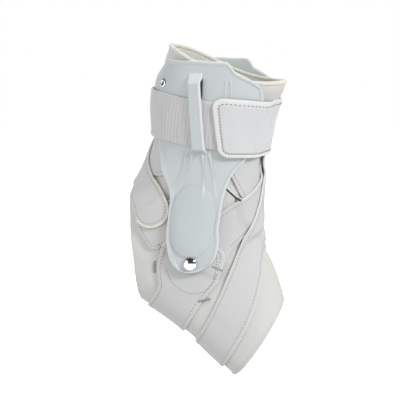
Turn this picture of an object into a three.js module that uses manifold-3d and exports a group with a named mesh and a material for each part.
// Ankle support brace for a right ankle, closed as worn, with a padded open-heel sleeve, two
// riveted side shells, a stirrup, wrap straps and an elastic top strap.
// Millimetres, +X towards the toes, -Y towards the outer side of the ankle, +Z up.
// The origin is the middle of the ankle.
import * as THREE from 'three';
import Module from 'manifold-3d';

// Body of the sleeve
const FRONT_REACH = 72; // ankle centre forward to the front of the rim and of the foot end
const HEEL_REACH = 83; // ankle centre back to the back of the heel
const LEG_RISE = 148; // ankle centre up to the back of the rim
const FOOT_DROP = 114; // ankle centre down to the sole at the foot end
const CALF_WIDTH = 82;
const ANKLE_WIDTH = 74;
const FOOT_WIDTH = 80;
const SLEEVE_WALL = 2.8;
const RIM_DIP = 7.5; // how far the rim is cut down at each side of the leg
const BINDING_HEIGHT = 2.6;
const BINDING_OVERHANG = 0.6; // how far the tape stands proud of the sleeve's two faces

// Straps
const STRAP_THICKNESS = 1.5;
const WRAP_WIDTH = 31;
const INSTEP_WIDTH = 29;
const ANCHOR_WIDTH = 29;
const ANCHOR_CORNER = 7;
const STIRRUP_TOP_WIDTH = 50;
const STIRRUP_SOLE_WIDTH = 37;
const STIRRUP_CORNER = 14;
const ELASTIC_WIDTH = 38;
const TAB_WIDTH = 48;
const TAB_THICKNESS = 2;
const TAB_CORNER = 8;
const TAB_SKEW = 0.12; // how far the tab's end leans, as a share of its width

// Side shells
const SHELL_WALL = 2.2;
const SHELL_LIP = 0.8; // extra thickness along the shell's edge
const DOME_HEIGHT = 2.4;
const DOME_LENGTH = 58;
const DOME_WIDTH = 35;
const BRIDGE_WIDTH = 9.4;
const BRIDGE_THICKNESS = 2.2;
const BRIDGE_HEADROOM = 0.6; // free height between the elastic and the bridge
const BRIDGE_SLOT_ABOVE = 13; // free slot above the elastic
const BRIDGE_SLOT_BELOW = 1.5;
const BRIDGE_FOOT = 6; // length of each end that is moulded into the shell
const RIVET_RADIUS = 5.2;
const RIVET_DOME = 2.4;
const RIVET_SHANK = 2;
const EYELET_RADIUS = 3.4;
const EYELET_HOLE = 1.5;
const EYELET_HEIGHT = 1;

// Fits
const GAP = 0.7; // between layers that lie on each other
const PIN_CLEARANCE = 0.3;
const DRAPE_MARGIN = 4; // how far before an edge an upper strap starts to rise
const DRAPE_BLEND = 4; // how softly it rises

// Sections of the leg and foot, from the rim to the foot end. Reaches are shares of FRONT_REACH
// and HEEL_REACH, heights are shares of LEG_RISE above the ankle and of FOOT_DROP below it, and
// width is a share of the named width. belly says where the section is widest, from the back,
// round_front and round_back are the exponents of its two halves, shift is its sideways offset as
// a share of FOOT_WIDTH, and yaw turns it about its own front-to-back line, in degrees.
const SECTION_COLUMNS = ['front_x', 'front_z', 'back_x', 'back_z', 'size', 'width', 'belly',
  'round_front', 'round_back', 'shift', 'yaw'];
const SECTIONS = {
  rim: [0.983, 0.809, -0.283, 1, CALF_WIDTH, 1, 0.5, 2.1, 2.1, 0, 0],
  calf: [0.885, 0.693, -0.35, 0.836, CALF_WIDTH, 0.99, 0.5, 2.1, 2.1, 0, 0],
  shin: [0.77, 0.559, -0.39, 0.67, CALF_WIDTH, 0.94, 0.5, 2.1, 2.1, 0, 0],
  above_ankle: [0.7, 0.426, -0.415, 0.493, CALF_WIDTH, 0.88, 0.52, 2.1, 2, 0, 0],
  ankle_top: [0.665, 0.305, -0.505, 0.349, ANKLE_WIDTH, 0.95, 0.55, 2.2, 2, 0, 0],
  ankle: [0.646, 0.194, -0.627, 0.222, ANKLE_WIDTH, 1, 0.58, 2.3, 2, 0, 0],
  instep: [0.64, 0.111, -0.828, 0.094, ANKLE_WIDTH, 1.01, 0.6, 2.3, 2.1, 0, 1],
  heel_back: [0.651, 0.05, -1, -0.094, ANKLE_WIDTH, 0.98, 0.6, 2.3, 2.2, 0.006, 2],
  heel_low: [0.675, -0.014, -0.98, -0.295, ANKLE_WIDTH, 0.96, 0.58, 2.3, 2.3, 0.012, 4],
  heel_base: [0.71, -0.086, -0.788, -0.446, ANKLE_WIDTH, 0.95, 0.54, 2.2, 2.5, 0.025, 5],
  arch_back: [0.765, -0.166, -0.525, -0.532, FOOT_WIDTH, 0.89, 0.48, 2.1, 2.7, 0.044, 7],
  arch: [0.828, -0.245, -0.283, -0.625, FOOT_WIDTH, 0.91, 0.43, 2.1, 2.9, 0.062, 8],
  midfoot: [0.892, -0.331, -0.051, -0.741, FOOT_WIDTH, 0.945, 0.4, 2.1, 2.9, 0.088, 9],
  foot: [0.945, -0.418, 0.161, -0.87, FOOT_WIDTH, 0.975, 0.38, 2.1, 2.9, 0.112, 10],
  foot_end: [0.996, -0.504, 0.369, -1, FOOT_WIDTH, 1, 0.38, 2.1, 2.9, 0.138, 10],
};

// Edge of the heel opening seen from the side: shares of HEEL_REACH, and of LEG_RISE above the
// ankle or FOOT_DROP below it
const OPENING_EDGE = [
  // x, z
  [-0.76, 0.24],
  [-0.675, 0.165],
  [-0.631, 0.085],
  [-0.6, -0.085],
  [-0.576, -0.223],
  [-0.541, -0.456],
  [-0.478, -0.562],
  [-0.45, -0.66],
];

// Routes of the straps. station counts the sections from 0 at the rim, and turn is the angle round
// the leg or foot in degrees: 0 outer side, 90 front, 180 inner side, 270 or -90 back and sole.
const OUTER_WRAP_ROUTE = [
  // station, turn, width
  [12.9, -86.5, WRAP_WIDTH],
  [12.9, -60, WRAP_WIDTH],
  [12.7, -31, WRAP_WIDTH],
  [12.37, -5, WRAP_WIDTH],
  [11.95, 17, WRAP_WIDTH],
  [11.35, 38, 0.94 * WRAP_WIDTH],
  [10.6, 54, 0.86 * WRAP_WIDTH],
  [9.75, 65, 0.79 * WRAP_WIDTH],
  [8.8, 74, 0.78 * WRAP_WIDTH],
  [7.5, 84, 0.82 * WRAP_WIDTH],
  [6.2, 94, 0.9 * WRAP_WIDTH],
  [5.1, 104, 0.95 * WRAP_WIDTH],
  [4.2, 115, WRAP_WIDTH],
  [3.45, 127, WRAP_WIDTH],
  [2.85, 145, WRAP_WIDTH],
  [2.7, 165, WRAP_WIDTH],
  [2.75, 190, 0.95 * WRAP_WIDTH],
  [2.95, 215, 0.85 * WRAP_WIDTH],
  [3.2, 238, 0.76 * WRAP_WIDTH],
  [3.4, 255, 0.74 * WRAP_WIDTH],
  [3.9, 267, 0.85 * WRAP_WIDTH],
  [4.5, 277, 0.95 * WRAP_WIDTH],
  [5.0, 293, WRAP_WIDTH],
  [5.45, 307, WRAP_WIDTH],
  [5.9, 315, WRAP_WIDTH],
  [6.3, 315.5, WRAP_WIDTH],
  [6.75, 311.5, WRAP_WIDTH],
];
const INSTEP_ROUTE = [
  // station, turn
  [8.75, 18],
  [8.05, 33],
  [7.1, 49],
  [6.3, 64],
  [5.65, 81],
  [4.9, 103],
  [4.05, 121],
  [3.35, 141],
  [2.95, 160],
];
const ANCHOR_ROUTE = [
  // station, turn
  [7.0, -46],
  [6.55, -31],
  [6.15, -16],
  [5.85, -3],
];
const STIRRUP_ROUTE = [
  // station, turn, width
  [7.4, 16, STIRRUP_TOP_WIDTH],
  [8.4, 9, STIRRUP_TOP_WIDTH],
  [9.15, -4, STIRRUP_TOP_WIDTH],
  [10.1, -26, STIRRUP_SOLE_WIDTH],
  [10.8, -54, STIRRUP_SOLE_WIDTH],
  [11, -90, STIRRUP_SOLE_WIDTH],
];
const ELASTIC_ROUTE = [
  // station, turn
  [2.12, 31],
  [2.17, 5],
  [2.2, -17],
  [2.22, -45],
  [2.22, -70],
  [2.17, -95],
  [2.15, -130],
  [2.2, -165],
  [2.2, -190],
  [2.1, -212],
  [2.05, -228],
];
const TAB_ROUTE = [
  // station, turn
  [2.2, 14],
  [2.1, 40],
  [2.02, 74],
  [1.98, 100],
  [2.02, 125],
  [2.08, 150],
];

// Outline of the outer shell, row by row from its top. Each row runs from a rear to a front end.
// crest is the share by which it follows the shaped top edge instead of a straight line, bulge
// drops its middle by a share of a section step, and stand is the height of the inner face over
// the sleeve, in layers of strap.
const STAND_TOP = 1.2;
const STAND_FOOT = 2.1;
const SHELL_ROWS = [
  // rear station, rear turn, front station, front turn, crest, bulge, stand
  [0.4, -54, 0.4, 46.5, 1, 0, STAND_TOP],
  [0.8, -60, 0.8, 53, 0.5, 0, STAND_TOP],
  [1.15, -66, 1.15, 54.5, 0, 0, STAND_TOP],
  [1.65, -69, 1.65, 55, 0, 0, STAND_TOP],
  [2.2, -65, 2.2, 55, 0, 0, STAND_TOP],
  [2.8, -57, 2.75, 54, 0, 0, STAND_TOP],
  [3.5, -52, 3.33, 51, 0, 0, STAND_TOP],
  [4.3, -42, 3.87, 40, 0, 0, 1.3],
  [5.1, -30, 4.93, 31.5, 0, 0, 1.6],
  [6.2, -23, 5.97, 33, 0, 0, 1.9],
  [7.3, -19, 7.5, 38, 0, 0, STAND_FOOT],
  [8.1, -15, 8.45, 36.5, 0, 0.02, STAND_FOOT],
  [8.65, -10, 8.95, 30, 0, 0.08, STAND_FOOT],
  [8.95, -3, 9.15, 23, 0, 0.13, STAND_FOOT],
];
const SHELL_TOP_EDGE = [
  // share from rear to front, station
  [0, 0.4],
  [0.16, 0.3],
  [0.35, 0.1],
  [0.48, 0],
  [0.58, -0.12],
  [0.63, -0.15],
  [0.67, -0.07],
  [0.72, 0.1],
  [0.88, 0.23],
  [1, 0.4],
];
const BRIDGE_CROSSING = [2.2, -5]; // where the elastic passes under the bridge
const BRIDGE_LEAN = 7.5; // degrees the bridge leans off the line down the leg
const RIVET_PLACE = [8.6, 8];
const EYELET_PLACE = [1.18, -50];
const DOME_PLACE = [6.4, 6];

// Fineness of the faceted surfaces
const SLEEVE_ROWS = 25;
const SLEEVE_ROW_SPREAD = [
  // share of the rows, share of the stations; close together where the ankle bends
  [0, 0],
  [0.15, 0.18],
  [0.8, 0.66],
  [1, 1],
];
const SLEEVE_SIDES = 30;
const SHELL_STEPS = 2; // facets between two rows of the outline
const SHELL_WIDE = [0, 0.07, 0.16, 0.28, 0.4, 0.5, 0.6, 0.67, 0.73, 0.88, 1];
const STRAP_STEP = 9; // longest facet along a strap
const STRAP_BEND = 12; // most degrees that the skin turns along one facet
const ROUND_SIDES = 14;
const CELLS_PER_STATION = 10; // cells of the map of covered height
const TURN_CELLS = 144;

const wasm = await Module();
wasm.setup();

const LAST_STATION = Object.keys(SECTIONS).length - 1;
const SKIN_PAST_RIM = 0.3; // the shells stand past the rim by less than this share of a section
const FULL_TURN = 360;
const RAD = Math.PI / (FULL_TURN / 2);

// Real sizes of one section of the table
function measureSection(row) {
  const s = {};
  SECTION_COLUMNS.forEach((name, k) => {
    s[name] = row[k];
  });
  const height = (share) => share * (share > 0 ? LEG_RISE : FOOT_DROP);
  return [s.front_x * FRONT_REACH, height(s.front_z), s.back_x * HEEL_REACH, height(s.back_z),
    0.5 * s.size * s.width, s.belly, s.round_front, s.round_back, -s.shift * FOOT_WIDTH,
    s.yaw * RAD];
}
const MEASURED = Object.values(SECTIONS).map(measureSection);

// Smooth values between the rows of a table, by a Catmull-Rom spline through each column
function blendRows(table, at) {
  const last = table.length - 1;
  const i = Math.min(Math.max(Math.floor(at), 0), last - 1);
  const t = at - i;
  return table[i].map((_, k) => {
    const p1 = table[i][k];
    const p2 = table[i + 1][k];
    const p0 = i > 0 ? table[i - 1][k] : 2 * p1 - p2;
    const p3 = i < last - 1 ? table[i + 2][k] : 2 * p2 - p1;
    return 0.5 * (2 * p1 + (p2 - p0) * t + (2 * p0 - 5 * p1 + 4 * p2 - p3) * t * t
      + (3 * p1 - p0 - 3 * p2 + p3) * t * t * t);
  });
}

// Point of the sleeve's outer face at a station and a turn
function skin(station, turn) {
  const [fx, fz, bx, bz, half, belly, roundFront, roundBack, shift, yaw] =
    blendRows(MEASURED, Math.min(Math.max(station, -SKIN_PAST_RIM), LAST_STATION));
  const depth = Math.hypot(fx - bx, fz - bz);
  const forward = new THREE.Vector3((fx - bx) / depth, 0, (fz - bz) / depth);
  const down = new THREE.Vector3(forward.z, 0, -forward.x);
  const outward = new THREE.Vector3(0, -Math.cos(yaw), 0).addScaledVector(down, Math.sin(yaw));
  const c = Math.cos(turn * RAD);
  const s = Math.sin(turn * RAD);
  const reach = s > 0 ? (1 - belly) * depth : belly * depth;
  const power = s > 0 ? roundFront : roundBack;
  const radius = (Math.abs(c / half) ** power + Math.abs(s / reach) ** power) ** (-1 / power);
  return new THREE.Vector3(bx + belly * (fx - bx), shift, bz + belly * (fz - bz))
    .addScaledVector(outward, radius * c)
    .addScaledVector(forward, radius * s);
}

// How the skin runs along the stations and round the turns, per unit of each
function slopes(station, turn) {
  const d = 0.01;
  const low = Math.max(station - d, -SKIN_PAST_RIM);
  const high = Math.min(station + d, LAST_STATION);
  return {
    along: skin(high, turn).sub(skin(low, turn)).divideScalar(high - low),
    round: skin(station, turn + d).sub(skin(station, turn - d)).divideScalar(2 * d),
  };
}

function normal(station, turn) {
  const { along, round } = slopes(station, turn);
  return round.cross(along).multiplyScalar(-1).normalize();
}

function lifted(station, turn, lift) {
  return skin(station, turn).addScaledVector(normal(station, turn), lift);
}

// Walks over the skin from a place in a direction, and returns the new place and direction
function walk(place, direction, length, steps) {
  let [station, turn] = place;
  const heading = direction.clone();
  for (let k = 0; k < steps; k++) {
    const { along, round } = slopes(station, turn);
    const face = normal(station, turn);
    heading.addScaledVector(face, -heading.dot(face)).normalize();
    const aa = along.dot(along);
    const rr = round.dot(round);
    const ar = along.dot(round);
    const ha = heading.dot(along);
    const hr = heading.dot(round);
    const det = aa * rr - ar * ar;
    station += (length / steps) * (ha * rr - hr * ar) / det;
    turn += (length / steps) * (hr * aa - ha * ar) / det;
  }
  return { place: [station, turn], heading };
}

// Maps of how high each laid piece reaches over the skin
const STATION_CELLS = LAST_STATION * CELLS_PER_STATION + 1;
const TURN_CELL = FULL_TURN / TURN_CELLS;
const layers = {};
const cellSpan = [];
for (let i = 0; i < STATION_CELLS; i++) {
  for (let j = 0; j < TURN_CELLS; j++) {
    const { along, round } = slopes(i / CELLS_PER_STATION, j * TURN_CELL);
    cellSpan.push([along.length() / CELLS_PER_STATION, round.length() * TURN_CELL]);
  }
}

// Applies a rule to all cells within a distance of each cell
function spread(map, distance, start, rule, finish) {
  const out = new Float64Array(map.length);
  for (let i = 0; i < STATION_CELLS; i++) {
    for (let j = 0; j < TURN_CELLS; j++) {
      const [du, dt] = cellSpan[i * TURN_CELLS + j];
      const ni = Math.ceil(distance / du);
      const nj = Math.ceil(distance / dt);
      let value = start;
      let count = 0;
      for (let a = Math.max(i - ni, 0); a <= Math.min(i + ni, STATION_CELLS - 1); a++) {
        for (let b = j - nj; b <= j + nj; b++) {
          value = rule(value, map[a * TURN_CELLS + (b + 4 * TURN_CELLS) % TURN_CELLS]);
          count += 1;
        }
      }
      out[i * TURN_CELLS + j] = finish(value, count);
    }
  }
  return out;
}

// Smooth ground that the named piece is laid on, made of all other pieces laid so far
function groundFor(name) {
  const tops = new Float64Array(STATION_CELLS * TURN_CELLS);
  for (const [other, map] of Object.entries(layers)) {
    if (other !== name) {
      map.forEach((height, k) => {
        tops[k] = Math.max(tops[k], height);
      });
    }
  }
  const wide = spread(tops, DRAPE_MARGIN + DRAPE_BLEND, 0, Math.max, (v) => v);
  const ground = spread(wide, DRAPE_BLEND, 0, (a, b) => a + b, (v, n) => v / n);
  return (station, turn) => {
    const u = Math.min(Math.max(station * CELLS_PER_STATION, 0), STATION_CELLS - 1.001);
    const t = (((turn % FULL_TURN) + FULL_TURN) % FULL_TURN) / TURN_CELL;
    const i = Math.floor(u);
    const j = Math.floor(t) % TURN_CELLS;
    const k = (j + 1) % TURN_CELLS;
    const ft = t - Math.floor(t);
    const near = ground[i * TURN_CELLS + j] * (1 - ft) + ground[i * TURN_CELLS + k] * ft;
    const far = ground[(i + 1) * TURN_CELLS + j] * (1 - ft) + ground[(i + 1) * TURN_CELLS + k] * ft;
    return near + (far - near) * (u - i);
  };
}

// Marks the cells under a grid of [station, turn, top height]
function cover(name, grid) {
  layers[name] ??= new Float64Array(STATION_CELLS * TURN_CELLS);
  const fine = 10;
  for (let r = 0; r + 1 < grid.length; r++) {
    for (let c = 0; c + 1 < grid[r].length; c++) {
      for (let a = 0; a <= fine; a++) {
        for (let b = 0; b <= fine; b++) {
          const mix = (k) => {
            const left = grid[r][c][k] * (1 - a / fine) + grid[r + 1][c][k] * (a / fine);
            const right = grid[r][c + 1][k] * (1 - a / fine) + grid[r + 1][c + 1][k] * (a / fine);
            return left * (1 - b / fine) + right * (b / fine);
          };
          const i = Math.round(mix(0) * CELLS_PER_STATION);
          const j = (Math.round(mix(1) / TURN_CELL) + 4 * TURN_CELLS) % TURN_CELLS;
          if (i >= 0 && i < STATION_CELLS) {
            const cell = i * TURN_CELLS + j;
            layers[name][cell] = Math.max(layers[name][cell], mix(2));
          }
        }
      }
    }
  }
}

// Closed body between an outer and an inner grid of points
function wallBody(outer, inner, closedRound = false) {
  const rows = outer.length;
  const cols = outer[0].length;
  const positions = [];
  const index = [];
  for (const grid of [outer, inner]) {
    for (const row of grid) {
      for (const p of row) {
        positions.push(p.x, p.y, p.z);
      }
    }
  }
  const id = (side, r, c) => side * rows * cols + r * cols + (c % cols);
  const quad = (a, b, c, d) => index.push(a, b, c, a, c, d);
  const spans = closedRound ? cols : cols - 1;
  for (let r = 0; r + 1 < rows; r++) {
    for (let c = 0; c < spans; c++) {
      quad(id(0, r, c), id(0, r, c + 1), id(0, r + 1, c + 1), id(0, r + 1, c));
      quad(id(1, r, c), id(1, r + 1, c), id(1, r + 1, c + 1), id(1, r, c + 1));
    }
  }
  for (let c = 0; c < spans; c++) {
    quad(id(0, 0, c), id(1, 0, c), id(1, 0, c + 1), id(0, 0, c + 1));
    quad(id(0, rows - 1, c), id(0, rows - 1, c + 1), id(1, rows - 1, c + 1), id(1, rows - 1, c));
  }
  if (!closedRound) {
    for (let r = 0; r + 1 < rows; r++) {
      quad(id(0, r, 0), id(0, r + 1, 0), id(1, r + 1, 0), id(1, r, 0));
      quad(id(0, r, cols - 1), id(1, r, cols - 1), id(1, r + 1, cols - 1), id(0, r + 1, cols - 1));
    }
  }
  return facingOut(positions, index);
}

// Closed ring whose rows of points each go once round its section
function ringBody(rows) {
  const positions = [];
  const index = [];
  const n = rows[0].length;
  rows.forEach((row) => row.forEach((p) => positions.push(p.x, p.y, p.z)));
  rows.forEach((_, r) => {
    const next = (r + 1) % rows.length;
    for (let c = 0; c < n; c++) {
      const d = (c + 1) % n;
      index.push(r * n + c, r * n + d, next * n + d, r * n + c, next * n + d, next * n + c);
    }
  });
  return facingOut(positions, index);
}

// Geometry with its triangles turned so that the volume they enclose is positive
function facingOut(positions, index) {
  let volume = 0;
  for (let k = 0; k < index.length; k += 3) {
    const [a, b, c] = [0, 1, 2].map((n) => new THREE.Vector3().fromArray(positions, 3 * index[k + n]));
    volume += a.dot(b.cross(c));
  }
  if (volume < 0) {
    for (let k = 0; k < index.length; k += 3) {
      [index[k + 1], index[k + 2]] = [index[k + 2], index[k + 1]];
    }
  }
  const geometry = new THREE.BufferGeometry();
  geometry.setAttribute('position', new THREE.Float32BufferAttribute(positions, 3));
  geometry.setIndex(index);
  return geometry;
}

function toSolid(geometry) {
  const plain = geometry.index ? geometry : mergedPositions(geometry);
  return new wasm.Manifold(new wasm.Mesh({
    numProp: 3,
    vertProperties: new Float32Array(plain.attributes.position.array),
    triVerts: new Uint32Array(plain.index.array),
  }));
}

function fromSolid(solid) {
  const mesh = solid.getMesh();
  const geometry = new THREE.BufferGeometry();
  geometry.setAttribute('position', new THREE.BufferAttribute(mesh.vertProperties, 3));
  geometry.setIndex(new THREE.BufferAttribute(mesh.triVerts, 1));
  return geometry;
}

// Welds the corners of a stock geometry so that only its positions are left
function mergedPositions(geometry) {
  const source = geometry.attributes.position;
  const places = new Map();
  const positions = [];
  const weld = (k) => {
    const p = [source.getX(k), source.getY(k), source.getZ(k)];
    const key = p.map((v) => Math.round(v * 1e4)).join(' ');
    if (!places.has(key)) {
      places.set(key, positions.length / 3);
      positions.push(...p);
    }
    return places.get(key);
  };
  const order = geometry.index ? [...geometry.index.array] : [...Array(source.count).keys()];
  const index = [];
  for (let k = 0; k < order.length; k += 3) {
    const [a, b, c] = [weld(order[k]), weld(order[k + 1]), weld(order[k + 2])];
    if (a !== b && b !== c && c !== a) {
      index.push(a, b, c);
    }
  }
  return facingOut(positions, index);
}

// The rim dips at the outer and the inner side of the leg
function rimStation(turn) {
  const side = Math.cos(turn * RAD) > 0 ? turn : 180 - turn;
  const dip = Math.max(0, Math.cos((side - 15) * RAD)) ** 2;
  return (RIM_DIP * dip) / slopes(0, turn).along.length();
}

function stepFrom(station, turn, distance) {
  return station + distance / slopes(station, turn).along.length();
}

function sleeveBody() {
  const outer = [];
  const inner = [];
  for (let r = 0; r <= SLEEVE_ROWS; r++) {
    outer.push([]);
    inner.push([]);
    for (let c = 0; c < SLEEVE_SIDES; c++) {
      const turn = (FULL_TURN * c) / SLEEVE_SIDES;
      const from = stepFrom(rimStation(turn), turn, BINDING_HEIGHT + GAP);
      const to = stepFrom(LAST_STATION, turn, -BINDING_HEIGHT - GAP);
      const station = from + (to - from) * lookUp(SLEEVE_ROW_SPREAD, r / SLEEVE_ROWS);
      outer[r].push(lifted(station, turn, 0));
      inner[r].push(lifted(station, turn, -SLEEVE_WALL));
    }
  }
  const tube = toSolid(wallBody(outer, inner, true));
  return fromSolid(tube.subtract(toSolid(heelCutter())));
}

// Prism behind the edge of the heel opening
function heelCutter() {
  const edge = OPENING_EDGE.map(([x, z]) => [x * HEEL_REACH, z * (z > 0 ? LEG_RISE : FOOT_DROP)]);
  const far = -1.3 * HEEL_REACH;
  const outline = new THREE.Shape();
  outline.moveTo(far, edge[0][1]);
  edge.forEach(([x, z]) => outline.lineTo(x, z));
  outline.lineTo(far, edge[edge.length - 1][1]);
  const prism = new THREE.ExtrudeGeometry(outline, { depth: 2 * FOOT_WIDTH, bevelEnabled: false });
  prism.rotateX(Math.PI / 2);
  prism.translate(0, FOOT_WIDTH, 0);
  return mergedPositions(prism);
}

// Tape round an open end of the sleeve, a bead on its edge
function bindingBody(edgeStation, into) {
  const rows = [];
  const wide = SLEEVE_WALL + 2 * BINDING_OVERHANG;
  const section = [
    // depth from the outer side, distance from the end
    [0, 0.25],
    [0.25, 0],
    [0.75, 0],
    [1, 0.25],
    [1, 1],
    [0, 1],
  ];
  for (let c = 0; c < SLEEVE_SIDES; c++) {
    const turn = (FULL_TURN * c) / SLEEVE_SIDES;
    const edge = edgeStation(turn);
    rows.push(section.map(([deep, far]) => lifted(
      stepFrom(edge, turn, into * far * BINDING_HEIGHT),
      turn,
      BINDING_OVERHANG - deep * wide,
    )));
  }
  return ringBody(rows);
}

// Places along a route, closer together where the skin bends, with the heading at each. The
// distances given in ends are kept at both ends of the route.
function alongRoute(route, ends = []) {
  const fine = [];
  const count = 40 * (route.length - 1);
  for (let k = 0; k <= count; k++) {
    const row = blendRows(route, (k * (route.length - 1)) / count);
    fine.push({ row, point: skin(row[0], row[1]), face: normal(row[0], row[1]), length: 0, cost: 0 });
  }
  for (let k = 1; k <= count; k++) {
    const piece = fine[k].point.distanceTo(fine[k - 1].point);
    const bend = fine[k].face.angleTo(fine[k - 1].face) / RAD;
    fine[k].length = fine[k - 1].length + piece;
    fine[k].cost = fine[k - 1].cost + Math.max(piece / STRAP_STEP, bend / STRAP_BEND);
  }
  const total = fine[count].length;
  const between = (key, value) => {
    const k = Math.min(Math.max(fine.findIndex((stop) => stop[key] >= value), 1), count);
    const share = (value - fine[k - 1][key]) / (fine[k][key] - fine[k - 1][key]);
    return { k, share, distance: fine[k - 1].length + share * (fine[k].length - fine[k - 1].length) };
  };
  const steps = Math.ceil(fine[count].cost);
  const even = [...Array(steps + 1).keys()].map((n) =>
    between('cost', (n * fine[count].cost) / steps).distance);
  const near = Math.max(0, ...ends);
  const inside = even.filter((d) => d > near + 2 && d < total - near - 2);
  const distances = ends.length ? [...ends, ...inside, ...ends.map((d) => total - d).reverse()] : even;
  return distances.map((distance) => {
    const { k, share } = between('length', distance);
    const row = fine[k].row.map((v, n) => fine[k - 1].row[n] + (v - fine[k - 1].row[n]) * share);
    const heading = fine[k].point.clone().sub(fine[k - 1].point).normalize();
    return { row, heading, distance, total };
  });
}

// Half width of a strap at a distance from a rounded end
function roundedHalf(half, corner, distance) {
  if (corner === 0 || distance >= corner) {
    return half;
  }
  const inset = corner - distance;
  return half - corner + Math.sqrt(Math.max(corner * corner - inset * inset, 0));
}

// Grid of places that a strap covers along its route
function strapPlaces(route, options) {
  const { across = 4, corner = 0, roundStart = true, roundEnd = true, skew = 0 } = options;
  const bend = [0, 0.13, 0.5, 1].map((share) => share * corner);
  return alongRoute(route, corner > 0 ? bend : []).map(({ row, heading, distance, total }) => {
    const full = (options.width ?? row[2]) / 2;
    const fromStart = roundStart ? roundedHalf(full, corner, distance) : full;
    const half = Math.min(fromStart, roundEnd ? roundedHalf(full, corner, total - distance) : full);
    const lean = skew * Math.max(0, 1 - distance / full);
    const face = normal(row[0], row[1]);
    const sideways = new THREE.Vector3().crossVectors(heading, face).normalize();
    const places = [];
    for (let c = -across / 2; c <= across / 2; c++) {
      const reach = (2 * c * half) / across;
      const start = walk([row[0], row[1]], heading, lean * reach, 1).place;
      const way = reach < 0 ? sideways.clone().negate() : sideways;
      places.push(reach === 0 ? start : walk(start, way, Math.abs(reach), 4).place);
    }
    return places;
  });
}

// Heights of a strap's lower face over the skin, from what is already laid under it
function layStrap(name, grid, thickness) {
  const ground = groundFor(name);
  const lows = grid.map((places) => places.map(([station, turn]) => ground(station, turn) + GAP));
  cover(name, grid.map((places, r) => places.map(([station, turn], c) =>
    [station, turn, lows[r][c] + thickness])));
  return lows;
}

function strapWall(grid, lows, thickness) {
  const face = (extra) => grid.map((places, r) => places.map(([station, turn], c) =>
    lifted(station, turn, lows[r][c] + extra)));
  return wallBody(face(thickness), face(0));
}

function strapBody(name, route, options) {
  const grid = strapPlaces(route, options);
  return strapWall(grid, layStrap(name, grid, options.thickness), options.thickness);
}

// Mirror of a place or a route from the outer to the inner side
function mirrored(route) {
  return route.map(([station, turn, ...rest]) => [station, 180 - turn, ...rest]);
}

// Swelling of a shell over the ankle bone, from 0 at the edge of the dome to 1
function domeShare(station, turn, place) {
  const away = skin(station, turn).sub(skin(...place));
  const down = slopes(...place).along.normalize();
  const long = away.dot(down) / (DOME_LENGTH / 2);
  const wide = Math.hypot(away.x, away.z);
  const cross = Math.sqrt(Math.max(wide * wide - away.dot(down) ** 2, 0)) / (DOME_WIDTH / 2);
  return Math.sqrt(Math.max(0, 1 - long * long - cross * cross));
}

// Value of a short table of [at, value] rows, straight between its rows
function lookUp(table, at) {
  const k = Math.min(Math.max(table.findIndex(([x]) => x >= at), 1), table.length - 1);
  const [x0, y0] = table[k - 1];
  const [x1, y1] = table[k];
  return y0 + ((y1 - y0) * (at - x0)) / (x1 - x0);
}

// A side shell. side maps a place on the outer side to the side that the shell is built on.
function shellWall(name, side) {
  const layer = GAP + STRAP_THICKNESS;
  const dome = side([DOME_PLACE])[0];
  const ground = groundFor(name);
  const outer = [];
  const inner = [];
  const tops = [];
  const count = SHELL_STEPS * (SHELL_ROWS.length - 1);
  for (let r = 0; r <= count; r++) {
    const [rearU, rearT, frontU, frontT, crest, bulge, stand] =
      blendRows(SHELL_ROWS, r / SHELL_STEPS);
    outer.push([]);
    inner.push([]);
    tops.push([]);
    for (const w of SHELL_WIDE) {
      const straight = rearU + (frontU - rearU) * w + bulge * 4 * w * (1 - w);
      const rise = (lookUp(SHELL_TOP_EDGE, w) - SHELL_ROWS[0][0]) * crest;
      const [station, turn] = side([[straight + rise, rearT + (frontT - rearT) * w]])[0];
      const swell = DOME_HEIGHT * domeShare(station, turn, dome);
      const edge = Math.min(w, 1 - w) < 0.1 || r > count - 2 ? SHELL_LIP : 0;
      const low = Math.max(ground(station, turn), stand * layer) + GAP + swell;
      inner[r].push(lifted(station, turn, low));
      outer[r].push(lifted(station, turn, low + SHELL_WALL + edge));
      tops[r].push([station, turn, low + SHELL_WALL + edge]);
    }
  }
  cover(name, tops);
  return {
    solid: toSolid(wallBody(outer, inner)),
    faceAt: (place) => Math.max(ground(...place), STAND_TOP * layer) + GAP + SHELL_WALL,
  };
}

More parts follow.
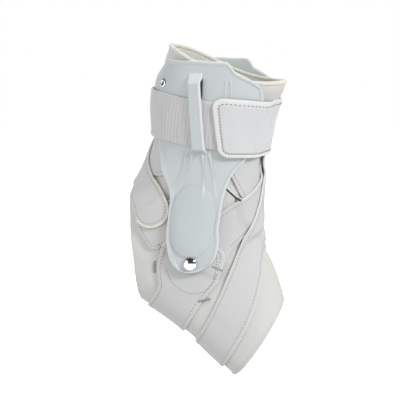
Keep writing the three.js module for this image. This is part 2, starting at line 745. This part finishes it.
// Loop over the elastic, its two feet moulded into the shell
function bridgeBody(side, ground) {
  const [station, turn] = side([BRIDGE_CROSSING])[0];
  const { along, round } = slopes(station, turn);
  const tilt = Math.tan(BRIDGE_LEAN * RAD) * Math.sign(Math.cos(turn * RAD));
  const down = along.normalize().addScaledVector(round.normalize(), tilt).normalize();
  const above = ELASTIC_WIDTH / 2 + BRIDGE_SLOT_ABOVE;
  const below = ELASTIC_WIDTH / 2 + BRIDGE_SLOT_BELOW;
  const rise = 0.3 * BRIDGE_FOOT;
  const rows = [
    // distance down from the crossing, and whether this row is raised over the elastic
    [-above - BRIDGE_FOOT, 0],
    [-above - rise, 0.75],
    [-above, 1],
    [-above / 2, 1],
    [0, 1],
    [below / 2, 1],
    [below, 1],
    [below + rise, 0.75],
    [below + BRIDGE_FOOT, 0],
  ];
  const over = ground(station, turn) + GAP + STRAP_THICKNESS + BRIDGE_HEADROOM;
  const outer = [];
  const inner = [];
  rows.forEach(([distance, raised], r) => {
    const start = walk([station, turn], down.clone().multiplyScalar(Math.sign(distance) || 1),
      Math.abs(distance), 8);
    outer.push([]);
    inner.push([]);
    for (const c of [-0.5, 0, 0.5]) {
      const sideways = new THREE.Vector3().crossVectors(down, normal(...start.place))
        .multiplyScalar(Math.sign(c));
      const place = c === 0 ? start.place
        : walk(start.place, sideways, Math.abs(c) * BRIDGE_WIDTH, 2).place;
      const face = ground(...place);
      const low = raised === 1 ? over : face - 0.5 * SHELL_WALL;
      const high = face + (over + BRIDGE_THICKNESS - face) * raised - (raised === 0 ? 0.1 : 0);
      inner[r].push(lifted(...place, low));
      outer[r].push(lifted(...place, high));
    }
  });
  return toSolid(wallBody(outer, inner));
}

// Turned part standing on the skin: profile points are radius and height over the given lift
function turnedBody(place, lift, profile) {
  const points = profile.map(([radius, height]) => new THREE.Vector2(radius, height));
  const lathe = new THREE.LatheGeometry(points, ROUND_SIDES);
  const face = normal(...place);
  lathe.applyQuaternion(new THREE.Quaternion().setFromUnitVectors(new THREE.Vector3(0, 1, 0), face));
  const base = lifted(...place, lift);
  lathe.translate(base.x, base.y, base.z);
  return mergedPositions(lathe);
}

function holeThrough(place, lift, radius) {
  const reach = 3 * SHELL_WALL;
  return toSolid(turnedBody(place, lift, [[0, -reach], [radius, -reach], [radius, reach], [0, reach],
    [0, -reach]]));
}

const materials = {
  knit: { color: 0xdeded9, roughness: 0.95, metalness: 0 },
  binding: { color: 0xf0eee2, roughness: 0.85, metalness: 0 },
  strap: { color: 0xd3d3d2, roughness: 0.9, metalness: 0 },
  elastic: { color: 0xc6c4c6, roughness: 0.9, metalness: 0 },
  tab: { color: 0xdadbdd, roughness: 0.7, metalness: 0 },
  plastic: { color: 0xc7ced1, roughness: 0.42, metalness: 0 },
  chrome: { color: 0xd9d9d9, roughness: 0.12, metalness: 1 },
};

const brace = new THREE.Group();

function addPiece(name, geometry, finish) {
  geometry.computeVertexNormals();
  const mesh = new THREE.Mesh(geometry, new THREE.MeshStandardMaterial(materials[finish]));
  mesh.name = name;
  brace.add(mesh);
}

function addStrap(name, route, options, finish = 'strap') {
  addPiece(name, strapBody(name, route, options), finish);
}

addPiece('sleeve', sleeveBody(), 'knit');
addPiece('top_binding', bindingBody(rimStation, 1), 'binding');
addPiece('foot_binding', bindingBody(() => LAST_STATION, -1), 'binding');

const wrap = { thickness: STRAP_THICKNESS, corner: WRAP_WIDTH / 2 - 1, roundStart: false };
addStrap('rear_anchor_strap', ANCHOR_ROUTE,
  { thickness: STRAP_THICKNESS, corner: ANCHOR_CORNER, width: ANCHOR_WIDTH, roundEnd: false });
addStrap('inner_wrap_strap', mirrored(OUTER_WRAP_ROUTE), wrap);
addStrap('instep_strap', INSTEP_ROUTE,
  { thickness: STRAP_THICKNESS, corner: ANCHOR_CORNER, width: INSTEP_WIDTH, roundStart: false,
    across: 6 });
const stirrupRoute = [...STIRRUP_ROUTE, ...mirrored(STIRRUP_ROUTE.slice(0, -1)).reverse()
  .map(([station, turn, width]) => [station, turn - FULL_TURN, width])];
addStrap('stirrup_strap', stirrupRoute, { thickness: STRAP_THICKNESS, corner: STIRRUP_CORNER });
addStrap('outer_wrap_strap', OUTER_WRAP_ROUTE, wrap);

const sides = {
  outer: (route) => route,
  inner: mirrored,
};
const shells = {};
for (const [name, side] of Object.entries(sides)) {
  shells[name] = shellWall(`shell_${name}`, side);
}
const shellTop = groundFor('bridge');
for (const [name, side] of Object.entries(sides)) {
  const rivetPlace = side([RIVET_PLACE])[0];
  const eyeletPlace = side([EYELET_PLACE])[0];
  const rivetLift = shellTop(...rivetPlace);
  const eyeletLift = shells[name].faceAt(eyeletPlace);
  const shell = shells[name].solid.add(bridgeBody(side, shellTop))
    .subtract(holeThrough(rivetPlace, rivetLift, RIVET_SHANK + PIN_CLEARANCE))
    .subtract(holeThrough(eyeletPlace, eyeletLift, EYELET_HOLE + PIN_CLEARANCE));
  addPiece(`shell_${name}`, fromSolid(shell), 'plastic');
  addPiece(`rivet_${name}`, turnedBody(rivetPlace, rivetLift + PIN_CLEARANCE, [
    [0, -SHELL_WALL],
    [RIVET_SHANK, -SHELL_WALL],
    [RIVET_SHANK, 0],
    [RIVET_RADIUS, 0],
    [RIVET_RADIUS, 0.25 * RIVET_DOME],
    [0.75 * RIVET_RADIUS, 0.8 * RIVET_DOME],
    [0, RIVET_DOME],
  ]), 'chrome');
  addPiece(`eyelet_${name}`, turnedBody(eyeletPlace, eyeletLift + PIN_CLEARANCE, [
    [EYELET_HOLE, 0],
    [EYELET_RADIUS, 0],
    [0.85 * EYELET_RADIUS, EYELET_HEIGHT],
    [EYELET_HOLE, EYELET_HEIGHT],
    [EYELET_HOLE, 0],
  ]), 'chrome');
}

addStrap('top_strap', ELASTIC_ROUTE, { thickness: STRAP_THICKNESS, width: ELASTIC_WIDTH }, 'elastic');
addStrap('top_strap_tab', TAB_ROUTE,
  { thickness: TAB_THICKNESS, width: TAB_WIDTH, corner: TAB_CORNER, skew: TAB_SKEW }, 'tab');

export default brace;
